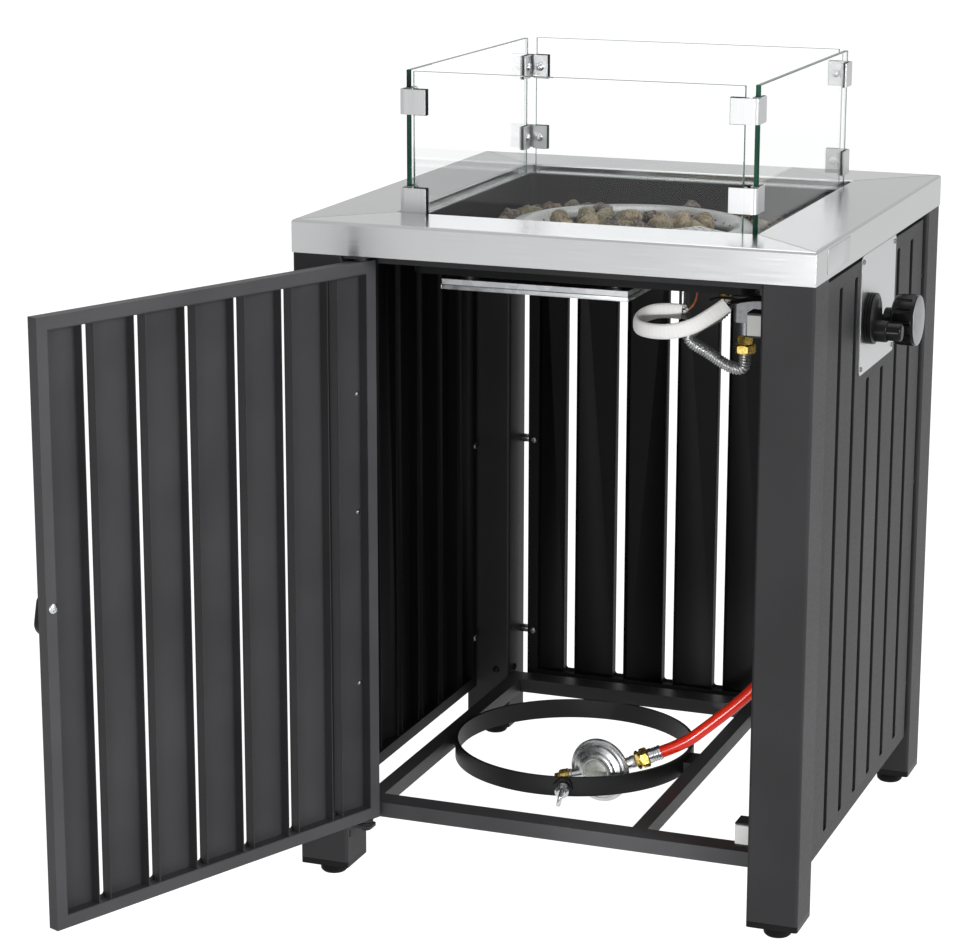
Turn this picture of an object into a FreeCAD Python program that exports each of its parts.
import FreeCAD, Part
import math
import os
import random

# Fire pit table in millimetres. X to the right, Y into the depth, Z up.
# The origin is on the floor, under the centre of the square top.

# Driving sizes of the whole table
TOP_SIDE = 508.0
TOP_HEIGHT = 658.0
FASCIA_DEPTH = 31.5
RAIL_WIDTH = 76.0
RAIL_WALL = 1.2
LEDGE_DROP = 8.0
LEDGE_WIDTH = 11.0
LIP_WIDTH = 10.0
MITRE_GAP = 0.2

LEG_SIDE = 50.0
LEG_WALL = 1.5
FOOT_RADIUS = 13.5
FOOT_HEIGHT = 13.3
CAP_HEIGHT = 6.0

# Slatted panels and door, all pressed from one pattern
PANEL_THICKNESS = 11.5
PANEL_LOW = 62.0
PANEL_HIGH = 620.0
TUBE_WALL = 1.0
SHEET_WALL = 0.8
SLOT_WIDTH = 12.3
SLOT_RADIUS = 3.0
SLOT_LOW = 77.0
SLOT_HIGH = 607.0
SLOT_COUNT = 6
SLOT_PITCH = 57.8
PANEL_WIDTH = 402.0
PANEL_FACE = 250.0

DOOR_WIDTH = 400.0
DOOR_LOW = 65.0
DOOR_HIGH = 621.0
PIVOT_X = -187.0
PIVOT_Y = -244.5
DOOR_OPEN = 113.0
RIVET_HEIGHTS = (204.7, 376.7, 492.6)
PIN_RADIUS = 3.0
PIN_CLEARANCE = 0.06
TAB_THICKNESS = 3.0

# Base frame and the ring that holds the gas bottle
BAR_LOW = 60.0
BAR_HIGH = 75.0
BAR_WALL = 1.2
RING_X = -59.5
RING_Y = 13.6
RING_RADIUS = 125.0
RING_WALL = 3.0
RING_LOW = 62.0
RING_HEIGHT = 20.0
RIGHT_BAR = (73.0, 88.0)
CLAMP_ANGLE = -76.0
CLAMP_Z = 73.5
CLAMP_HOLE = 3.0
CLAMP_BOSS = 17.0
UPPER_BAR_HEIGHT = 10.0

# Fire bowl and burner
BOWL_INSIDE = 166.0
BOWL_FLOOR = 599.2
BOWL_WALL = 1.2
BURNER_OUTER = 115.0
BURNER_INNER = 89.0
BURNER_TOP = 632.0
PORT_COUNT = 30
SHIELD_LOW = 580.0
SHIELD_HIGH = 590.0

# Glass guard
PANE_LENGTH = 325.0
PANE_HEIGHT = 142.0
PANE_WALL = 5.0
PANE_FACE = 174.0
CLIP_HEIGHT = 24.0
CLIP_LEG = 27.0
CLIP_WALL = 1.9
CLIP_GAP = 0.3

# Controls on the right side
KNOB_Y = 11.0
CONTROL_Z = 551.0
IGNITER_Y = -42.0
IGNITER_Z = 548.5
DRUM_Z = 560.5
DRUM_RADIUS = 24.7
IGNITER_BACK = 205.0
PLATE_LOW = 508.5
PLATE_HIGH = 624.0
PLATE_HALF = 69.0
PLATE_WALL = 1.2

# Gas hose and regulator
HOSE_DIAMETER = 12.5
INLET_X = 190.0
DISC_RADIUS = 33.0
SCREW_HEIGHTS = (120.0, 341.0, 560.0)

HALF = TOP_SIDE / 2
TOP_UNDERSIDE = TOP_HEIGHT - FASCIA_DEPTH
OPENING = HALF - RAIL_WIDTH
LEDGE_Z = TOP_HEIGHT - LEDGE_DROP
BOWL_TOP = LEDGE_Z - RAIL_WALL
LEG_FACE = HALF - 0.5
LEG_INNER = LEG_FACE - LEG_SIDE
LEG_CENTRE = LEG_FACE - LEG_SIDE / 2
PLATE_FACE = PANEL_FACE + PLATE_WALL
UP = FreeCAD.Vector(0, 0, 1)
parts = {}


# Small builders

def vec(x, y, z):
    return FreeCAD.Vector(x, y, z)


def block(x_range, y_range, z_range):
    size = [high - low for low, high in (x_range, y_range, z_range)]
    return Part.makeBox(size[0], size[1], size[2], vec(x_range[0], y_range[0], z_range[0]))


def rod(start, end, radius):
    axis = end - start
    return Part.makeCylinder(radius, axis.Length, start, axis)


def point_up(shape, base, direction):
    """Move a shape drawn round +Z so that it starts at base and points along direction."""
    copy = shape.copy()
    copy.Placement = FreeCAD.Placement(base, FreeCAD.Rotation(UP, direction))
    return copy


def turned(profile, base=None, direction=None):
    """Revolve (radius, height) points about their own axis."""
    points = [vec(radius, 0, height) for radius, height in profile]
    face = Part.Face(Part.makePolygon(points + [points[0]]))
    solid = face.revolve(vec(0, 0, 0), UP, 360)
    return point_up(solid, base or vec(0, 0, 0), direction or UP)


def extruded(points, travel):
    face = Part.Face(Part.makePolygon(points + [points[0]]))
    return face.extrude(travel)


def rounded_block(x_range, y_range, z_range, radius):
    """A box whose upright edges are rounded."""
    solid = block(x_range, y_range, z_range)
    upright = [edge for edge in solid.Edges if abs(edge.tangentAt(edge.FirstParameter).z) > 0.9]
    return solid.makeFillet(radius, upright)


def hexagon(across_flats, length, base, direction):
    corner = across_flats / math.sqrt(3)
    points = [vec(corner * math.cos(math.radians(60 * k)), corner * math.sin(math.radians(60 * k)), 0)
              for k in range(6)]
    return point_up(extruded(points, UP * length), base, direction)


def box_tube(x_range, y_range, z_range, wall):
    """A rectangular tube that is open along its longest side."""
    ranges = [x_range, y_range, z_range]
    lengths = [high - low for low, high in ranges]
    along = lengths.index(max(lengths))
    inner = [(low, high) if k == along else (low + wall, high - wall)
             for k, (low, high) in enumerate(ranges)]
    return block(*ranges).cut(block(*inner))


def quarter_turns(shape, turns):
    copy = shape.copy()
    copy.rotate(vec(0, 0, 0), UP, 90 * turns)
    return copy


def mirrored(shape, normal):
    return shape.mirror(vec(0, 0, 0), normal)


def four_corners(shape):
    """Copy a shape at one corner to all four corners, mirror images of each other."""
    across = mirrored(shape, vec(1, 0, 0))
    return [shape, across, mirrored(shape, vec(0, 1, 0)), mirrored(across, vec(0, 1, 0))]


def group(shapes):
    return Part.makeCompound(shapes)


def bent_tube(route, diameter, share=0.45):
    """A round tube along straight runs joined by arcs; returns the solid and its arc radii."""
    edges = []
    radii = []
    start = route[0]
    for before, corner, after in zip(route, route[1:], route[2:]):
        back = (before - corner).normalize()
        ahead = (after - corner).normalize()
        half_turn = (math.pi - back.getAngle(ahead)) / 2
        reach = share * min((before - corner).Length, (after - corner).Length)
        radius = reach / math.tan(half_turn)
        middle = (back + ahead).normalize()
        centre = corner + middle * (radius / math.cos(half_turn))
        first = corner + back * reach
        last = corner + ahead * reach
        edges.append(Part.LineSegment(start, first).toShape())
        edges.append(Part.Arc(first, centre - middle * radius, last).toShape())
        radii.append(radius)
        start = last
    edges.append(Part.LineSegment(start, route[-1]).toShape())
    path = Part.Wire(edges)
    ring = Part.Wire(Part.makeCircle(diameter / 2, route[0], route[1] - route[0]))
    tube = path.makePipeShell([ring], True, False)
    exact = math.pi * (diameter / 2) ** 2 * path.Length
    print(f"  length {path.Length:.1f}, volume ratio {tube.Volume / exact:.4f}, radii",
          [round(radius, 1) for radius in radii])
    return tube


# Square top of four mitred rails

def top_rail():
    """The front rail: fascia, top, fold into the opening, and the ledge for the bowl."""
    lip = LIP_WIDTH
    wall = RAIL_WALL
    low = TOP_UNDERSIDE
    ledge = LEDGE_Z
    outline = [
        (-HALF + lip, low), (-HALF, low), (-HALF, TOP_HEIGHT), (-OPENING, TOP_HEIGHT),
        (-OPENING, ledge), (-OPENING + LEDGE_WIDTH, ledge), (-OPENING + LEDGE_WIDTH, ledge - wall),
        (-OPENING - wall, ledge - wall), (-OPENING - wall, TOP_HEIGHT - wall),
        (-HALF + wall, TOP_HEIGHT - wall), (-HALF + wall, low + wall), (-HALF + lip, low + wall),
    ]
    rail = extruded([vec(-HALF, y, z) for y, z in outline], vec(TOP_SIDE, 0, 0))
    bends = ((-HALF, TOP_HEIGHT, 3.0), (-HALF + wall, TOP_HEIGHT - wall, 1.8),
             (-OPENING, TOP_HEIGHT, 2.0), (-OPENING - wall, TOP_HEIGHT - wall, 0.8))
    for y, z, radius in bends:
        corner = [edge for edge in rail.Edges if edge.Length > TOP_SIDE / 2
                  and (edge.CenterOfMass - vec(0, y, z)).Length < 0.1]
        rail = rail.makeFillet(radius, corner)
    reach = HALF + 1
    gap = MITRE_GAP / 2
    mitre = [vec(-reach + gap, -reach, low - 1), vec(reach - gap, -reach, low - 1), vec(0, -gap, low - 1)]
    return rail.common(extruded(mitre, vec(0, 0, FASCIA_DEPTH + 2)))


def make_top():
    rail = top_rail()
    for turns, side in enumerate(("front", "right", "back", "left")):
        parts["top_rail_" + side] = quarter_turns(rail, turns)


# Legs, end caps and feet

def make_legs():
    low = FOOT_HEIGHT + CAP_HEIGHT
    side = (LEG_INNER, LEG_FACE)
    bore = (LEG_INNER + LEG_WALL, LEG_FACE - LEG_WALL)
    tube = rounded_block(side, side, (low, TOP_UNDERSIDE), 3)
    tube = tube.cut(block(bore, bore, (low, TOP_UNDERSIDE)))
    names = ("leg_back_right", "leg_back_left", "leg_front_right", "leg_front_left")
    for name, leg in zip(names, four_corners(tube)):
        parts[name] = leg
    slot = block((-LEG_INNER - LEG_WALL - 1, -LEG_INNER + 1), (-248, -245.5), (44, 52))
    parts["leg_front_left"] = parts["leg_front_left"].cut(slot)

    flange = rounded_block(side, side, (FOOT_HEIGHT, low), 3)
    plug = block(bore, bore, (low, low + 12))
    socket = (bore[0] + 2, bore[1] - 2)
    cap = flange.fuse(plug).cut(block(socket, socket, (low, low + 12)))
    stem = post_at(LEG_CENTRE, LEG_CENTRE, 4, FOOT_HEIGHT, low + 4)
    cap = cap.cut(stem).removeSplitter()
    parts["leg_end_caps"] = group(four_corners(cap))

    pad = turned([(0, 0), (FOOT_RADIUS - 2, 0), (FOOT_RADIUS, 2.5), (FOOT_RADIUS, 9),
                  (FOOT_RADIUS - 2, FOOT_HEIGHT), (0, FOOT_HEIGHT)], vec(LEG_CENTRE, LEG_CENTRE, 0))
    parts["feet"] = group(four_corners(pad.fuse(stem).removeSplitter()))


def post_at(x, y, radius, low, high):
    return Part.makeCylinder(radius, high - low, vec(x, y, low))


# Bars that tie the legs

def make_bars():
    depth = (204.0, 228.0)
    height = (TOP_UNDERSIDE - UPPER_BAR_HEIGHT, TOP_UNDERSIDE)
    bar = box_tube((-LEG_INNER, LEG_INNER), depth, height, BAR_WALL)
    parts["upper_bars"] = group([quarter_turns(bar, turns) for turns in range(4)])

    level = (BAR_LOW, BAR_HIGH)
    parts["base_bars"] = group([
        box_tube((-LEG_INNER, LEG_INNER), (-222, -197), level, BAR_WALL),
        box_tube((-LEG_INNER, LEG_INNER), (197, 222), level, BAR_WALL),
        box_tube((-203, -187), (-197, 197), level, BAR_WALL),
        box_tube(RIGHT_BAR, (-197, 197), level, BAR_WALL),
    ])


# Bottle ring with its clamp boss and thumb screw

def clamp_direction():
    angle = math.radians(CLAMP_ANGLE)
    return vec(math.cos(angle), math.sin(angle), 0)


def make_bottle_ring():
    centre = vec(RING_X, RING_Y, RING_LOW)
    inside = RING_RADIUS - RING_WALL
    band = Part.makeCylinder(RING_RADIUS, RING_HEIGHT, centre)
    left_tab = block((-187, RING_X), (RING_Y - 16, RING_Y + 16), (RING_LOW, BAR_HIGH))
    right_tab = block((RING_X, RIGHT_BAR[0]), (RING_Y - 16, RING_Y + 16), (RING_LOW, BAR_HIGH))
    out = clamp_direction()
    axis_point = vec(RING_X, RING_Y, CLAMP_Z)
    boss = hexagon(CLAMP_BOSS, RING_WALL + 5, axis_point + out * (inside + 1), out)
    ring = band.fuse([left_tab, right_tab, boss])
    ring = ring.cut(Part.makeCylinder(inside, RING_HEIGHT, centre))
    hole = rod(axis_point + out * (inside - 5), axis_point + out * (RING_RADIUS + 10), CLAMP_HOLE)
    parts["bottle_ring"] = ring.cut(hole).removeSplitter()

    shank = CLAMP_HOLE - PIN_CLEARANCE
    base = axis_point + out * (inside - 1)
    screw = turned([(0, 0), (shank - 0.8, 0), (shank, 1), (shank, 14.5), (7, 14.5), (7, 24), (5, 26),
                    (5, 30), (0, 30)], base, out)
    tab_end = 51.0
    wing = block((-2.5, 2.5), (-6, 6), (30, tab_end))
    wing = wing.makeFillet(1.5, [edge for edge in wing.Edges if edge.CenterOfMass.z > tab_end - 0.5])
    parts["clamp_screw"] = screw.fuse(point_up(wing, base, out)).removeSplitter()


# Slatted panels: a square tube frame with a pressed sheet inside it

def slot_cutter(centre, low, high):
    """An upright slot with rounded ends, through the sheet."""
    solid = block((centre - SLOT_WIDTH / 2, centre + SLOT_WIDTH / 2), (0, PANEL_THICKNESS), (low, high))
    across = [edge for edge in solid.Edges if abs(edge.tangentAt(edge.FirstParameter).y) > 0.9]
    return solid.makeFillet(SLOT_RADIUS, across)


def panel_frame(width, low, high):
    """Four tubes: closed rails over the full width and open stiles that stand between them."""
    half = width / 2
    size = PANEL_THICKNESS
    wall = TUBE_WALL
    depth = (0, size)
    rails = []
    for z in (low, high - size):
        rail = block((-half, half), depth, (z, z + size))
        rail = rail.cut(block((-half + wall, half - wall), (wall, size - wall), (z + wall, z + size - wall)))
        vents = [post_at(u, size / 2, 3, low + size - 2 * wall, high - size + 2 * wall)
                 for u in (-half + size / 2, half - size / 2)]
        rails.append(rail.cut(vents))
    stiles = [box_tube((u, u + size), depth, (low + size, high - size), wall)
              for u in (-half, half - size)]
    return rails + stiles


def panel_sheet(width, low, high, slot_low, slot_tops):
    """A flat face with a flange all round and slots whose long sides are turned in as lips."""
    half = width / 2 - PANEL_THICKNESS
    bottom = low + PANEL_THICKNESS
    top = high - PANEL_THICKNESS
    wall = SHEET_WALL
    lip_depth = (0, PANEL_THICKNESS - 0.7)
    tray = block((-half, half), (0, PANEL_THICKNESS), (bottom, top))
    tray = tray.cut(block((-half + wall, half - wall), (wall, PANEL_THICKNESS),
                          (bottom + wall, top - wall)))
    lips = []
    slots = []
    for k, slot_top in enumerate(slot_tops):
        centre = (k - (SLOT_COUNT - 1) / 2) * SLOT_PITCH
        lip_height = (bottom, min(top, slot_top + 2))
        for edge in (centre - SLOT_WIDTH / 2 - wall, centre + SLOT_WIDTH / 2):
            lips.append(block((edge, edge + wall), lip_depth, lip_height))
        slots.append(slot_cutter(centre, slot_low, slot_top))
    return tray.fuse(lips).cut(group(slots))


def to_side(shape, outward):
    """Stand a panel drawn with its face at 0 on the side that looks outward."""
    copy = shape.copy()
    turns = {"front": 0, "right": 1, "back": 2, "left": 3}[outward]
    copy.translate(vec(0, -PANEL_FACE, 0))
    copy.rotate(vec(0, 0, 0), UP, 90 * turns)
    return copy


def make_panels():
    full = [SLOT_HIGH] * SLOT_COUNT
    behind_plate = PLATE_LOW - 9
    shortened = full[:2] + [behind_plate, behind_plate] + full[4:]
    frame = panel_frame(PANEL_WIDTH, PANEL_LOW, PANEL_HIGH)
    for side, tops in (("left", full), ("back", full), ("right", shortened)):
        parts["panel_frame_" + side] = group([to_side(tube, side) for tube in frame])
        sheet = panel_sheet(PANEL_WIDTH, PANEL_LOW, PANEL_HIGH, SLOT_LOW, tops)
        parts["panel_sheet_" + side] = to_side(sheet, side)
    stem_hole = rod(vec(240, KNOB_Y, CONTROL_Z), vec(255, KNOB_Y, CONTROL_Z), 9)
    igniter_hole = rod(vec(240, IGNITER_Y, IGNITER_Z), vec(255, IGNITER_Y, IGNITER_Z), 11)
    parts["panel_sheet_right"] = parts["panel_sheet_right"].cut([stem_hole, igniter_hole])

    screw = turned([(0, 0), (2.2, 0), (2.2, 0.4), (4, 0.4), (3.2, 2.2), (0, 2.6)])
    screws = []
    inner_face = PANEL_FACE - PANEL_THICKNESS
    for turns in (1, 2, 3):
        for side in (-1, 1):
            for z in SCREW_HEIGHTS:
                head = point_up(screw, vec(side * 195, -inner_face, z), vec(0, 1, 0))
                spacer = rod(vec(side * PANEL_WIDTH / 2, -inner_face - 6, z),
                             vec(side * LEG_INNER, -inner_face - 6, z), 4.5)
                screws += [quarter_turns(head, turns), quarter_turns(spacer, turns)]
    for y in (-PLATE_HALF + 5, PLATE_HALF - 5):
        for z in (PLATE_LOW + 6, PLATE_HIGH - 6):
            screws.append(point_up(screw, vec(PLATE_FACE, y, z), vec(1, 0, 0)))
    parts["panel_screws"] = group(screws)


# Door: the same pressed pattern, hung on two pins

def swing_open(shape):
    copy = shape.copy()
    copy.rotate(vec(PIVOT_X, PIVOT_Y, 0), UP, -DOOR_OPEN)
    return copy


def make_door():
    closed = vec(0, -PANEL_FACE, 0)
    bush = (PIVOT_X - 7, PIVOT_X + 7)
    frame = panel_frame(DOOR_WIDTH, DOOR_LOW, DOOR_HIGH)
    low_block = block(bush, (TUBE_WALL, PANEL_THICKNESS - TUBE_WALL),
                      (DOOR_LOW + TUBE_WALL, DOOR_LOW + PANEL_THICKNESS - TUBE_WALL))
    high_block = block(bush, (TUBE_WALL, PANEL_THICKNESS - TUBE_WALL),
                       (DOOR_HIGH - PANEL_THICKNESS + TUBE_WALL, DOOR_HIGH - TUBE_WALL))
    frame[0] = frame[0].fuse(low_block)
    frame[1] = frame[1].fuse(high_block)
    sheet = panel_sheet(DOOR_WIDTH, DOOR_LOW, DOOR_HIGH, DOOR_LOW + 15, [DOOR_HIGH - 13.5] * SLOT_COUNT)
    for shape in frame + [sheet]:
        shape.translate(closed)
    depth = PANEL_THICKNESS + 1
    for k, low in ((0, DOOR_LOW - 1), (1, DOOR_HIGH - PANEL_THICKNESS)):
        bore = post_at(PIVOT_X, PIVOT_Y, PIN_RADIUS + PIN_CLEARANCE, low, low + depth)
        frame[k] = frame[k].cut(bore).removeSplitter()
    parts["door_frame"] = group([swing_open(tube) for tube in frame])
    parts["door_sheet"] = swing_open(sheet)

    inner_face = -PANEL_FACE + PANEL_THICKNESS
    rivet = turned([(0, 0), (2.6, 0), (2, 1.4), (0, 1.8)])
    rivets = []
    for z in RIVET_HEIGHTS:
        head = point_up(rivet, vec(PIVOT_X + 3, -PANEL_FACE + SHEET_WALL, z), vec(0, 1, 0))
        rivets.append(swing_open(head))
    parts["door_rivets"] = group(rivets)
    make_door_knob(inner_face)


def make_door_knob(inner_face):
    """A flat pear-shaped pull outside the free stile, held by one screw from inside."""
    knob_x = PIVOT_X + 373
    screw_x = knob_x + 7
    knob_z = 363.5
    face = -PANEL_FACE
    small = 9.0
    large = 12.0
    drop = 18.0
    thickness = 10.0
    slope = math.asin((large - small) / drop)
    level = face - 2
    neck = rod(vec(knob_x, face, knob_z), vec(knob_x, level, knob_z), 7)

    def on_circle(radius, lower, angle):
        return vec(knob_x + radius * math.cos(angle), level, knob_z - lower + radius * math.sin(angle))

    other = math.pi - slope
    crown = Part.Arc(on_circle(small, 0, slope), on_circle(small, 0, math.pi / 2),
                     on_circle(small, 0, other)).toShape()
    side = Part.LineSegment(on_circle(small, 0, other), on_circle(large, drop, other)).toShape()
    bowl = Part.Arc(on_circle(large, drop, other), on_circle(large, drop, -math.pi / 2),
                    on_circle(large, drop, slope)).toShape()
    last = Part.LineSegment(on_circle(large, drop, slope), on_circle(small, 0, slope)).toShape()
    head = Part.Face(Part.Wire([crown, side, bowl, last])).extrude(vec(0, -thickness, 0))
    front = [edge for edge in head.Edges if edge.BoundBox.YMax < level - thickness + 0.1]
    head = head.makeFillet(4, front)
    through = rod(vec(screw_x, level - 4, knob_z), vec(screw_x, inner_face, knob_z), 2.5)
    knob = head.fuse(neck).cut(through).removeSplitter()
    parts["door_knob"] = swing_open(knob)
    bore = swing_open(rod(vec(screw_x, face - 1, knob_z), vec(screw_x, inner_face + 1, knob_z), 2.5))
    tubes = [tube.cut(bore) for tube in parts["door_frame"].Solids]
    parts["door_frame"] = group(tubes)
    head = turned([(0, 0), (4.8, 0), (4.8, 0.8), (3.8, 0.8), (3.2, 2.6), (0, 3)],
                  vec(screw_x, inner_face, knob_z), vec(0, 1, 0))
    screw = head.fuse(through).removeSplitter()
    parts["door_knob_screw"] = swing_open(screw)


# Hinge brackets, pins and magnetic catches

def make_hinges():
    hole = PIN_RADIUS
    reach = (-LEG_INNER, PIVOT_X + 8)
    low = DOOR_LOW - 8
    seat = low + TAB_THICKNESS
    high = TOP_UNDERSIDE - TAB_THICKNESS
    low_tab = rounded_block(reach, (PIVOT_Y - 8, PIVOT_Y + 8), (low, seat), 3)
    top_tab = rounded_block(reach, (PIVOT_Y - 8, -228), (high, TOP_UNDERSIDE), 3)
    low_tab = low_tab.cut(post_at(PIVOT_X, PIVOT_Y, hole, low, seat))
    top_tab = top_tab.cut(post_at(PIVOT_X, PIVOT_Y, hole, high, TOP_UNDERSIDE))
    parts["hinge_brackets"] = group([low_tab, top_tab])

    base = vec(PIVOT_X, PIVOT_Y, 0)
    washer = 7.2
    top = DOOR_LOW - 0.3
    low_pin = turned([(0, low - TAB_THICKNESS), (4.5, low - TAB_THICKNESS), (5, low - 2), (5, low),
                      (hole, low), (hole, seat), (washer, seat), (washer, seat + 1.5), (5, seat + 1.5),
                      (5, top - 1.7), (washer, top - 1.7), (washer, top), (hole, top),
                      (hole, DOOR_LOW + 9.5), (0, DOOR_LOW + 10.5)], base)
    high_pin = turned([(0, DOOR_HIGH - 10.5), (hole, DOOR_HIGH - 9.5), (hole, DOOR_HIGH + 0.3),
                       (6.5, DOOR_HIGH + 0.3), (6.5, high), (hole, high), (hole, TOP_UNDERSIDE),
                       (0, TOP_UNDERSIDE)], base)
    parts["hinge_pins"] = group([low_pin, high_pin])


def make_catches():
    brackets = []
    magnets = []
    for body_low, plate_low, plate_high in ((575.0, 567.0, 606.0), (88.0, 80.0, 120.0)):
        body_high = body_low + 19.5
        foot = block((LEG_INNER - 1.5, LEG_INNER), (-238, -213), (plate_low, plate_high))
        above = block((LEG_INNER - 17, LEG_INNER - 1.5), (-236.5, -216), (body_high, body_high + 1.5))
        below = block((LEG_INNER - 17, LEG_INNER - 1.5), (-236.5, -216), (body_low - 1.5, body_low))
        brackets.append(foot.fuse([above, below]))
        body = block((LEG_INNER - 17, LEG_INNER - 1.5), (-237.8, -217), (body_low, body_high))
        magnets.append(body)
    parts["catch_brackets"] = group(brackets)
    parts["catch_magnets"] = group(magnets)


# Fire bowl, burner, pilot and lava rocks

def make_bowl():
    outside = BOWL_INSIDE + BOWL_WALL
    low = BOWL_FLOOR - BOWL_WALL
    side = (-outside, outside)
    hollow = (-BOWL_INSIDE, BOWL_INSIDE)
    shell = rounded_block(side, side, (low, BOWL_TOP), 9)
    rim = (-OPENING + 1.5, OPENING - 1.5)
    flange = rounded_block(rim, rim, (BOWL_TOP - BOWL_WALL, BOWL_TOP), 2)
    bowl = shell.fuse(flange).cut(rounded_block(hollow, hollow, (BOWL_FLOOR, BOWL_TOP), 8))
    bowl = bowl.cut([post_at(98, KNOB_Y, 7, low - 1, BOWL_FLOOR + 1),
                     post_at(56, KNOB_Y, 2, low - 1, BOWL_FLOOR + 1)])
    parts["fire_bowl"] = bowl.removeSplitter()


def make_burner():
    """A hollow ring with a domed top, gas ports round its inner shoulder, and its inlet."""
    middle = (BURNER_OUTER + BURNER_INNER) / 2
    half = (BURNER_OUTER - BURNER_INNER) / 2
    low = BURNER_TOP - 22
    wall = 1.0
    shoulder = BURNER_TOP - 6
    points = []
    for radius_cut, level_cut in ((0, 0), (wall, wall)):
        h = half - radius_cut
        points.append([(middle - h, low + level_cut), (middle + h, low + level_cut),
                       (middle + h, shoulder - level_cut / 2), (middle + h * 0.7, BURNER_TOP - 2 - level_cut),
                       (middle + h * 0.25, BURNER_TOP - level_cut), (middle - h * 0.25, BURNER_TOP - level_cut),
                       (middle - h * 0.7, BURNER_TOP - 2 - level_cut), (middle - h, shoulder - level_cut / 2)])
    shell = turned(points[0]).cut(turned(points[1]))
    ports = []
    for k in range(PORT_COUNT):
        angle = 2 * math.pi * k / PORT_COUNT
        out = vec(math.cos(angle), math.sin(angle), 0)
        ports.append(rod(out * (BURNER_INNER - 2) + UP * (shoulder - 4),
                         out * (BURNER_INNER + 3) + UP * (shoulder - 4), 1.3))
    shell = shell.cut(group(ports))
    inlet = post_at(98, KNOB_Y, 7, 566, low + wall)
    shell = shell.fuse(inlet).cut(post_at(98, KNOB_Y, 5.5, 566, low + wall))
    feet = []
    for angle in (45, 135, 225, 315):
        arm = block((middle - 8, middle + 8), (-6, 6), (BOWL_FLOOR, low))
        arm.rotate(vec(0, 0, 0), UP, angle)
        feet.append(arm)
    parts["burner_ring"] = shell.fuse(feet).removeSplitter()


def hood_frame():
    """Base point and the two level directions of the pilot hood, radial and sideways."""
    angle = math.radians(-37)
    out = vec(math.cos(angle), math.sin(angle), 0)
    side = vec(math.sin(angle), -math.cos(angle), 0)
    return vec(86, -52, 0), out, side


def make_pilot():
    base, out, side = hood_frame()
    length = 43.0
    width = 45.0
    top = 641.0
    wall = 0.8

    def plate(out_range, side_range, z_range):
        corners = [(out_range[0], side_range[0]), (out_range[1], side_range[0]),
                   (out_range[1], side_range[1]), (out_range[0], side_range[1])]
        points = [base + out * a + side * b + UP * z_range[0] for a, b in corners]
        return extruded(points, UP * (z_range[1] - z_range[0]))

    cover = plate((0, length), (0, width), (top - wall, top))
    end = plate((length - wall, length), (0, width), (BOWL_FLOOR, top - wall))
    wing_a = plate((34, length - wall), (0, wall), (BOWL_FLOOR, top - wall))
    wing_b = plate((34, length - wall), (width - wall, width), (BOWL_FLOOR, top - wall))
    holes = []
    for row in range(4):
        for column in range(5):
            shift = 4.0 if row % 2 else 0.0
            spot = base + out * (6.5 + row * 10) + side * (4.5 + shift + column * 8)
            holes.append(rod(spot + UP * (top - 3), spot + UP * (top + 3), 2.0))
    parts["pilot_hood"] = cover.fuse([end, wing_a, wing_b]).cut(group(holes))
    middle = base + out * 36 + side * 22
    jet = turned([(0, BOWL_FLOOR), (5, BOWL_FLOOR), (5, 616), (3.2, 619), (3.2, 631), (0, 631)], middle)
    rest = middle + side * 12
    lead = turned([(0, BOWL_FLOOR), (4, BOWL_FLOOR), (4, 607), (1.6, 609), (1.6, 630), (0, 632)], rest)
    parts["pilot_burner"] = group([jet, lead])


def lava_rock(centre, radius, chance):
    """A rough stone: a twenty-sided solid whose corners are pushed in by chance."""
    golden = (1 + math.sqrt(5)) / 2
    corners = []
    for a in (-1, 1):
        for b in (-golden, golden):
            corners += [vec(0, a, b), vec(a, b, 0), vec(b, 0, a)]
    turn = FreeCAD.Rotation(chance.uniform(0, 360), chance.uniform(0, 360), chance.uniform(0, 360))
    points = [turn.multVec(corner.normalize()) * radius * chance.uniform(0.8, 1.0) for corner in corners]
    faces = []
    for i in range(12):
        for j in range(i + 1, 12):
            for k in range(j + 1, 12):
                three = (corners[i], corners[j], corners[k])
                near = all((p - q).Length < 1.2 for p, q in zip(three, three[1:] + three[:1]))
                if near:
                    loop = [points[i], points[j], points[k], points[i]]
                    faces.append(Part.Face(Part.makePolygon(loop)))
    rock = Part.Solid(Part.makeShell(faces))
    if rock.Volume < 0:
        rock.reverse()
    low = rock.BoundBox.ZMin
    rock.translate(vec(centre.x, centre.y, BOWL_FLOOR - low))
    return rock


def make_lava():
    chance = random.Random(11)
    spots = []
    for count, radius in ((3, 24.0), (10, 66.0)):
        for k in range(count):
            angle = 2 * math.pi * (k + 0.3) / count
            spots.append((radius * math.cos(angle), radius * math.sin(angle)))
    row = [-143.5 + 41 * k for k in range(8)]
    for x in row:
        for y in row:
            on_rim = max(abs(x), abs(y)) > 140
            second_row = abs(x) > 100 and abs(y) > 100
            if on_rim or second_row and not (x > 0 and y < 0):
                spots.append((x, y))
    parts["lava_rocks"] = group([lava_rock(vec(x, y, 0), 20.3, chance) for x, y in spots])


def make_heat_shield():
    """A folded tray under the bowl, held off it by four spacers."""
    wall = SHEET_WALL
    tray = block((-145, 44), (-145, 145), (SHIELD_LOW, SHIELD_HIGH))
    tray = tray.cut(block((-145 + wall, 44 - wall), (-145 + wall, 145 - wall),
                          (SHIELD_LOW, SHIELD_HIGH - wall)))
    spacers = []
    for x in (-125, 24):
        for y in (-120, 120):
            spacers.append(post_at(x, y, 5, SHIELD_HIGH, BOWL_FLOOR - BOWL_WALL))
    parts["heat_shield"] = tray.fuse(spacers).removeSplitter()


# Gas valve, igniter and their plate

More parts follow.
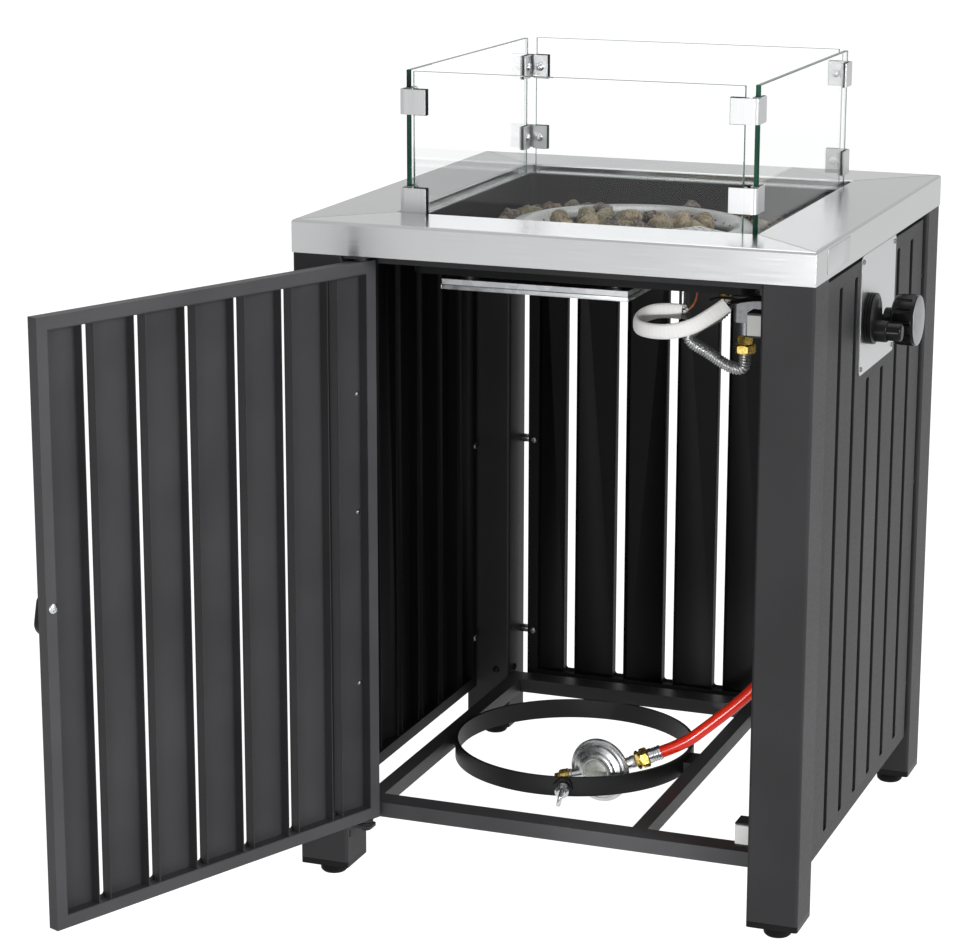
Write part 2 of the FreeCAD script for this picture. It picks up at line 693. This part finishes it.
def make_control_plate():
    plate = rounded_plate((-PLATE_HALF, PLATE_HALF), (PLATE_LOW, PLATE_HIGH), 4)
    plate = plate.cut([rod(vec(245, KNOB_Y, CONTROL_Z), vec(255, KNOB_Y, CONTROL_Z), 9),
                       rod(vec(245, IGNITER_Y, IGNITER_Z), vec(255, IGNITER_Y, IGNITER_Z), 11)])
    parts["control_plate"] = plate


def rounded_plate(y_range, z_range, radius):
    solid = block((PANEL_FACE, PLATE_FACE), y_range, z_range)
    across = [edge for edge in solid.Edges if abs(edge.tangentAt(edge.FirstParameter).x) > 0.9]
    return solid.makeFillet(radius, across)


def make_igniter():
    """A ribbed drum on the plate, a push button low in it, and the battery case behind."""
    base = vec(0, IGNITER_Y, IGNITER_Z)
    right = vec(1, 0, 0)
    face = PLATE_FACE
    back = IGNITER_BACK
    drum = DRUM_RADIUS
    ribs = [(0, face)]
    x = face
    for k in range(3):
        ribs += [(drum, x), (drum, x + 1.6), (drum - 1, x + 1.9), (drum - 1, x + 2.3)]
        x += 2.6
    front = x + 0.8
    outline = ribs + [(drum, x), (drum - 0.8, front), (0, front)]
    body = turned(outline, vec(0, IGNITER_Y, DRUM_Z), right)
    collar = turned([(0, face), (10.2, face), (10.2, 270.5), (9.6, 271.5), (0, 271.5)], base, right)
    tube = rod(base + right * back, base + right * (face + 1), 11)
    wide = rod(base + right * (back - 1), base + right * (face + 1.5), 9.5)
    narrow = rod(base + right * back, base + right * 272, 8.8)
    parts["igniter_housing"] = body.fuse([collar, tube]).cut([wide, narrow]).removeSplitter()
    parts["igniter_battery"] = rod(base + right * back, base + right * (back + 30), 9.5)
    button = turned([(0, face - 4), (9.2, face - 4), (9.2, face - 2.2), (8.5, face - 2.2), (8.5, 283),
                     (7.5, 284.8), (0, 285.6)], base, right)
    parts["igniter_button"] = button


def make_valve():
    y = KNOB_Y
    z = CONTROL_Z
    right = vec(1, 0, 0)
    down = vec(0, 0, -1)
    plate = block((222, 224), (y - 26, y + 26), (z - 24, z + 24))
    arms = [block((224, 247.7), (y + a, y + a + 2), (z - 24, z + 24)) for a in (-26, 24)]
    feet = [block((247.7, 249.2), (y + a, y + a + 10), (z - 24, z + 24)) for a in (-34, 24)]
    bracket = plate.fuse(arms + feet).cut(rod(vec(220, y, z), vec(226, y, z), 8))
    parts["valve_bracket"] = bracket.removeSplitter()

    bonnet = turned([(0, 150), (13, 150), (13, 196), (16, 198), (16, 222), (8, 222), (8, 238),
                     (0, 238)], vec(0, y, z), right)
    body = rounded_block((107, 152), (y - 15, y + 15), (z - 12, z + 14), 4)
    inlet = rod(vec(INLET_X, y, z), vec(INLET_X, y, z - 24), 9)
    outlet = rod(vec(116, y, z - 4), vec(116, y, z - 26), 7.5)
    magnet = rod(vec(134, y, z + 12), vec(134, y, z + 34), 8)
    channel = rod(vec(200, y, z), vec(240, y, z), 4 + PIN_CLEARANCE)
    valve = bonnet.fuse([body, inlet, outlet, magnet]).cut(channel).removeSplitter()
    parts["gas_valve"] = valve

    nut = hexagon(15, 10, vec(116, y, z - 26), down)
    collar = hexagon(19, 9, vec(116, y, z - 36), down)
    pipe_end = hexagon(14, 9, vec(98, y, 557), UP)
    parts["brass_unions"] = group([nut.fuse(collar).removeSplitter(), pipe_end])

    stem = turned([(0, 212), (4, 212), (4, 274), (0, 274)], vec(0, y, z), right)
    flat = block((260, 278), (y - 5, y + 5), (z + 2.6, z + 6))
    parts["valve_stem"] = stem.cut(flat)


def make_gas_knob():
    y = KNOB_Y
    z = CONTROL_Z
    right = vec(1, 0, 0)
    profile = [(4.1, 256), (10, 256), (11, 258), (11, 263), (20, 265), (24, 268), (25, 286),
               (24, 288.5), (0, 288.5), (0, 275), (4.1, 275)]
    knob = turned(profile, vec(0, y, z), right)
    grooves = []
    for k in range(12):
        angle = 2 * math.pi * k / 12
        spot = vec(0, y + 27.2 * math.cos(angle), z + 27.2 * math.sin(angle))
        grooves.append(rod(spot + right * 264, spot + right * 285, 3.4))
    parts["gas_knob"] = knob.cut(group(grooves))
    cap = turned([(0, 288.5), (24.2, 288.5), (22, 289.9), (16, 291), (8, 291.7), (0, 292)],
                 vec(0, y, z), right)
    parts["knob_cap"] = cap


# Pipes and leads held inside

def make_inner_pipes():
    y = KNOB_Y
    print("gas_pipe")
    parts["gas_pipe"] = bent_tube([vec(116, y, CONTROL_Z - 45), vec(116, y, 493), vec(98, y, 487),
                                   vec(58, y - 4, 513), vec(70, y - 4, 535), vec(98, y, 541),
                                   vec(98, y, 557)], 11)
    print("fibre_sleeve")
    parts["fibre_sleeve"] = bent_tube([vec(100, -8, 556), vec(72, -16, 541), vec(36, -20, 529),
                                       vec(13, -8, 529), vec(7, 20, 534), vec(24, 35, 537),
                                       vec(46, 34, 538)], 14)
    print("pilot_pipe")
    parts["pilot_pipe"] = bent_tube([vec(134, y, CONTROL_Z + 34), vec(134, y, 592), vec(100, y + 22, 592),
                                     vec(64, y + 14, 584), vec(56, y, 587), vec(56, y, BOWL_FLOOR)], 4)
    print("igniter_lead")
    parts["igniter_lead"] = bent_tube([vec(IGNITER_BACK, IGNITER_Y, IGNITER_Z),
                                       vec(190, IGNITER_Y, IGNITER_Z), vec(160, -38, 570),
                                       vec(128, -22, 568), vec(102, -8, 557.5)], 3.5)


# Gas hose with its regulator

def hose_route():
    """From the valve inlet, down behind the front right leg, and across to the regulator."""
    return [vec(INLET_X, KNOB_Y, 501), vec(INLET_X, KNOB_Y, 459), vec(191.5, 12, 402),
            vec(196, 14, 338), vec(190, 10, 276), vec(178, 4, 229), vec(161, -4, 194),
            vec(142, -13, 168), vec(121, -22, 147), vec(98, -31, 127), vec(76, -39, 108.5),
            vec(54.7, -47, 100)]


def make_hose():
    route = hose_route()
    print("gas_hose")
    parts["gas_hose"] = bent_tube(route, HOSE_DIAMETER)
    end = route[-1]
    along = (route[-1] - route[-2]).normalize()
    valve_end = route[0]
    ferrules = [rod(valve_end, valve_end + UP * 14, 7.6), rod(end, end + along * 14, 7.6)]
    parts["hose_ferrules"] = group(ferrules)
    valve_nut = hexagon(18, 12, valve_end + UP * 14, UP)
    nut_start = end + along * 14
    nut = hexagon(18, 14, nut_start, along)
    connector = make_regulator(nut_start + along * 14, along)
    parts["hose_brassware"] = group([valve_nut, nut, connector])


def make_regulator(outlet, along):
    """A round pressed housing with an outlet neck at one side and an inlet at the other."""
    centre = vec(-6, -60, 77.2)
    turn = math.radians(-10)
    face = vec(math.sin(turn), -math.cos(turn), 0)
    profile = [(0, -11), (17, -11), (24, -8), (26, -2), (31, -1.5), (DISC_RADIUS, -0.8),
               (DISC_RADIUS, 1.6), (32, 2.8), (29, 2.8), (28, 2), (27, 6), (26, 7), (21, 7.6),
               (20, 9.8), (18.5, 10.8), (13.5, 11.2), (13.5, 10.6), (0, 10.6)]
    housing = turned(profile, centre, face)
    neck = rod(outlet + along * 20, outlet, 6)
    left = vec(-37, -66, 69)
    inlet = rod(centre - face * 3, left, 6)
    parts["regulator"] = housing.fuse([neck, inlet]).removeSplitter()
    away = (left - (centre - face * 3)).normalize()
    return turned([(0, 0), (7.5, 0), (8, 1), (8, 9), (5.5, 11), (5.5, 15), (0, 15)], left, away)


# Glass guard: four panes and eight corner clips

def make_guard():
    low = LEDGE_Z
    half = PANE_LENGTH / 2
    pane = block((-half, half), (-PANE_FACE, -PANE_FACE + PANE_WALL), (low, low + PANE_HEIGHT))
    for turns, side in enumerate(("front", "right", "back", "left")):
        parts["guard_pane_" + side] = quarter_turns(pane, turns)
    clip_lows = {(-1, -1): (657, 751), (1, -1): (675, 757), (-1, 1): (676, 750), (1, 1): (667, 756)}
    clips = []
    screws = []
    for (sign_x, sign_y), lows in clip_lows.items():
        for low in lows:
            clip, pair = corner_clip(low)
            if sign_x < 0:
                clip = mirrored(clip, vec(1, 0, 0))
                pair = [mirrored(screw, vec(1, 0, 0)) for screw in pair]
            if sign_y < 0:
                clip = mirrored(clip, vec(0, 1, 0))
                pair = [mirrored(screw, vec(0, 1, 0)) for screw in pair]
            clips.append(clip)
            screws += pair
    parts["guard_clips"] = group(clips)
    parts["guard_clip_screws"] = group(screws)


def corner_clip(low):
    """A bent strip with a channel for each pane and a clamping screw in each channel."""
    slot_out = PANE_FACE + CLIP_GAP
    slot_in = PANE_FACE - PANE_WALL - CLIP_GAP
    outer = slot_out + CLIP_WALL
    inner = slot_in - CLIP_WALL
    end = PANE_LENGTH / 2 + CLIP_GAP
    level = (low, low + CLIP_HEIGHT)
    reach = outer - CLIP_LEG
    square = rounded_block((reach, outer), (reach, outer), level, 5)
    sharp = block((reach, outer - 6), (reach, outer), level).fuse(
        block((reach, outer), (reach, outer - 6), level))
    solid = square.fuse(sharp)
    solid = solid.cut(block((reach - 1, inner), (reach - 1, inner), (low - 1, low + 30)))
    solid = solid.cut([block((reach - 1, end), (slot_in, slot_out), (low - 1, low + 30)),
                       block((slot_in, slot_out), (reach - 1, end), (low - 1, low + 30))])
    core = (end + CLIP_WALL, slot_out)
    solid = solid.cut(block(core, core, (low - 1, low + 30)))
    middle = low + CLIP_HEIGHT / 2
    spot = reach + 8
    screw = turned([(0, 0), (2, 0), (2, CLIP_WALL + CLIP_GAP), (4.6, CLIP_WALL + CLIP_GAP),
                    (4.2, 4), (2.6, 5), (0, 5.3)])
    glass_face = PANE_FACE - PANE_WALL
    pair = [point_up(screw, vec(spot, glass_face, middle), vec(0, -1, 0)),
            point_up(screw, vec(glass_face, spot, middle), vec(-1, 0, 0))]
    holes = [rod(vec(spot, glass_face, middle), vec(spot, glass_face - 3, middle), 2),
             rod(vec(glass_face, spot, middle), vec(glass_face - 3, spot, middle), 2)]
    return solid.cut(holes).removeSplitter(), pair


make_top()
make_legs()
make_bars()
make_bottle_ring()
make_panels()
make_door()
make_hinges()
make_catches()
make_bowl()
make_burner()
make_pilot()
make_lava()
make_heat_shield()
make_control_plate()
make_igniter()
make_valve()
make_gas_knob()
make_inner_pipes()
make_hose()
make_guard()

os.makedirs("parts", exist_ok=True)
for name, shape in parts.items():
    if not shape.isValid():
        print("not valid:", name)
    shape.exportStep(f"parts/{name}.step")
print(len(parts), "nodes,", sum(len(shape.Solids) for shape in parts.values()), "solids")
